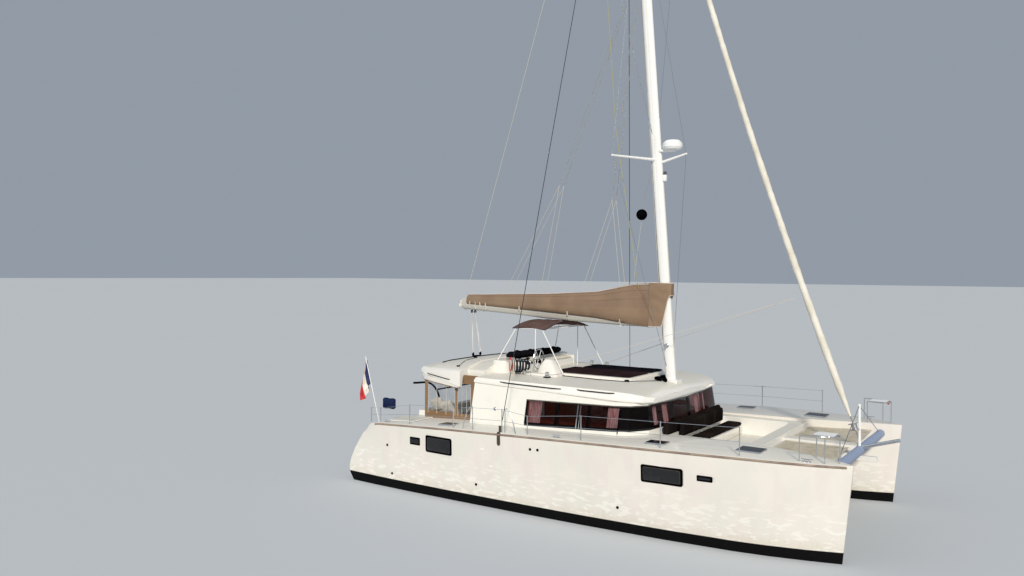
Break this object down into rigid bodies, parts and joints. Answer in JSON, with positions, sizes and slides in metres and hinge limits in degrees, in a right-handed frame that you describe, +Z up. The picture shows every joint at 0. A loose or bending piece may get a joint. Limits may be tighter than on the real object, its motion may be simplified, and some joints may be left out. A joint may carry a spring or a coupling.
{
  "type": "sailing catamaran with a flying bridge",
  "caption": "Cruising sailing catamaran afloat, sails stowed: two hulls, bridge deck, saloon, flying bridge, mast and boom; helm, rudders, propellers, boom, hatches and door move.",
  "frame": {"origin": "amidships on the centreline at the waterline", "axes": "+X forward, +Y to port, +Z up"},
  "size_m": [14.3927, 7.84, 24],
  "materials": {
    "gelcoat": "white gelcoat, glossy, slightly yellowed",
    "deck": "off-white gelcoat with a non-slip pattern",
    "antifouling": "matt black antifouling paint",
    "bronze": "bronze, dulled",
    "engine_paint": "grey engine enamel",
    "dark_acrylic": "smoked acrylic in an aluminium frame",
    "tan_canvas": "tan acrylic canvas with clear panels",
    "net": "beige knotted netting",
    "stainless": "polished stainless steel",
    "glass": "dark bonded acrylic glazing",
    "anodised": "anodised aluminium",
    "black_canvas": "black woven acrylic",
    "brown_canvas": "dark brown acrylic canvas",
    "pale_cushion": "off-white upholstery",
    "brown_cushion": "dark brown upholstery",
    "teak": "varnished wood",
    "blue_grey_paint": "blue-grey anodised beam, weathered",
    "mast_paint": "white paint",
    "white_plastic": "white plastic",
    "taupe_canvas": "taupe acrylic canvas",
    "sailcloth": "off-white sailcloth with a sun strip"
  },
  "bodies": {
    "platform": {"hull_port": "gelcoat", "hull_starboard": "gelcoat", "keel_port": "antifouling", "keel_starboard": "antifouling", "saildrive_port": "antifouling", "saildrive_starboard": "antifouling", "engine_port": "engine_paint", "engine_starboard": "engine_paint", "cockpit_enclosure_port": "tan_canvas", "cockpit_enclosure_starboard": "tan_canvas", "trampoline_port": "net", "trampoline_starboard": "net", "shroud_port": "stainless", "shroud_starboard": "stainless", "lifelines_port": "stainless", "lifelines_starboard": "stainless", "pulpit_port": "stainless", "pulpit_starboard": "stainless", "bridge_deck": "deck", "saloon_walls": "gelcoat", "saloon_glass": "glass", "saloon_bulkhead": "gelcoat", "coachroof": "gelcoat", "cockpit_hardtop": "gelcoat", "flybridge_moulding": "gelcoat", "helm_console": "gelcoat", "rolled_cover": "black_canvas", "flybridge_sunpad": "black_canvas", "bimini_canopy": "brown_canvas", "bimini_frame": "stainless", "cockpit_bench": "pale_cushion", "cockpit_table": "teak", "saloon_sofa": "brown_cushion", "saloon_table": "teak", "galley_counter": "teak", "forward_seat": "brown_cushion", "crossbeam": "blue_grey_paint", "bowsprit": "stainless", "bow_walkway": "deck", "mast": "mast_paint", "radar": "white_plastic", "furled_genoa": "sailcloth", "davits": "stainless", "flagstaff": "mast_paint"},
    "boom": {"boom": "mast_paint", "sail_bag": "taupe_canvas"},
    "wheel": {"steering_wheel": "stainless"},
    "door": {"sliding_door": "anodised"},
    "propeller_port": {"propeller_port": "bronze"},
    "rudder_port": {"rudder_port": "antifouling"},
    "engine_hatch_port": {"engine_hatch_port": "deck"},
    "bow_hatch_port": {"bow_hatch_port": "dark_acrylic"},
    "fore_hatch_port": {"fore_hatch_port": "dark_acrylic"},
    "aft_hatch_port": {"aft_hatch_port": "dark_acrylic"},
    "propeller_starboard": {"propeller_starboard": "bronze"},
    "rudder_starboard": {"rudder_starboard": "antifouling"},
    "engine_hatch_starboard": {"engine_hatch_starboard": "deck"},
    "bow_hatch_starboard": {"bow_hatch_starboard": "dark_acrylic"},
    "fore_hatch_starboard": {"fore_hatch_starboard": "dark_acrylic"},
    "aft_hatch_starboard": {"aft_hatch_starboard": "dark_acrylic"}
  },
  "joints": [
    {"name": "propeller_port_turn", "type": "hinge", "parent": "platform", "child": "propeller_port", "pos_m": [-5.075, 2.985, -0.9], "axis": [1, 0, 0], "continuous": true},
    {"name": "rudder_port_steer", "type": "hinge", "parent": "platform", "child": "rudder_port", "pos_m": [-6.08, 2.985, 0], "axis": [0, 0, 1], "range_deg": [-35, 35]},
    {"name": "engine_hatch_port_open", "type": "hinge", "parent": "platform", "child": "engine_hatch_port", "pos_m": [-4.74, 2.985, 1.864], "axis": [0, 1, 0], "range_deg": [0, 80]},
    {"name": "bow_hatch_port_open", "type": "hinge", "parent": "platform", "child": "bow_hatch_port", "pos_m": [5.06, 2.985, 2.1583], "axis": [0, 1, 0], "range_deg": [0, 85]},
    {"name": "fore_hatch_port_open", "type": "hinge", "parent": "platform", "child": "fore_hatch_port", "pos_m": [2.89, 2.985, 2.1332], "axis": [0, 1, 0], "range_deg": [0, 85]},
    {"name": "aft_hatch_port_open", "type": "hinge", "parent": "platform", "child": "aft_hatch_port", "pos_m": [-3.26, 2.985, 1.938], "axis": [0, 1, 0], "range_deg": [0, 85]},
    {"name": "propeller_starboard_turn", "type": "hinge", "parent": "platform", "child": "propeller_starboard", "pos_m": [-5.075, -2.985, -0.9], "axis": [1, 0, 0], "continuous": true},
    {"name": "rudder_starboard_steer", "type": "hinge", "parent": "platform", "child": "rudder_starboard", "pos_m": [-6.08, -2.985, 0], "axis": [0, 0, 1], "range_deg": [-35, 35]},
    {"name": "engine_hatch_starboard_open", "type": "hinge", "parent": "platform", "child": "engine_hatch_starboard", "pos_m": [-4.74, -2.985, 1.864], "axis": [0, 1, 0], "range_deg": [0, 80]},
    {"name": "bow_hatch_starboard_open", "type": "hinge", "parent": "platform", "child": "bow_hatch_starboard", "pos_m": [5.06, -2.985, 2.1583], "axis": [0, 1, 0], "range_deg": [0, 85]},
    {"name": "fore_hatch_starboard_open", "type": "hinge", "parent": "platform", "child": "fore_hatch_starboard", "pos_m": [2.89, -2.985, 2.1332], "axis": [0, 1, 0], "range_deg": [0, 85]},
    {"name": "aft_hatch_starboard_open", "type": "hinge", "parent": "platform", "child": "aft_hatch_starboard", "pos_m": [-3.26, -2.985, 1.938], "axis": [0, 1, 0], "range_deg": [0, 85]},
    {"name": "wheel_turn", "type": "hinge", "parent": "platform", "child": "wheel", "pos_m": [-1.9, -1.26, 3.66], "axis": [1, 0, 0], "range_deg": [-525, 525]},
    {"name": "boom_swing", "type": "hinge", "parent": "platform", "child": "boom", "pos_m": [1.26, 0, 4.7], "axis": [-0.0698, 0, 0.9976], "range_deg": [-45, 45]},
    {"name": "door_slide", "type": "slide", "parent": "platform", "child": "door", "axis": [0, 1, 0], "range_m": [0, 0.95]}
  ],
  "couplings": [
    {"joint": "rudder_starboard_steer", "follows": "rudder_port_steer", "ratio": 1},
    {"joint": "wheel_turn", "follows": "rudder_port_steer", "ratio": 15}
  ]
}
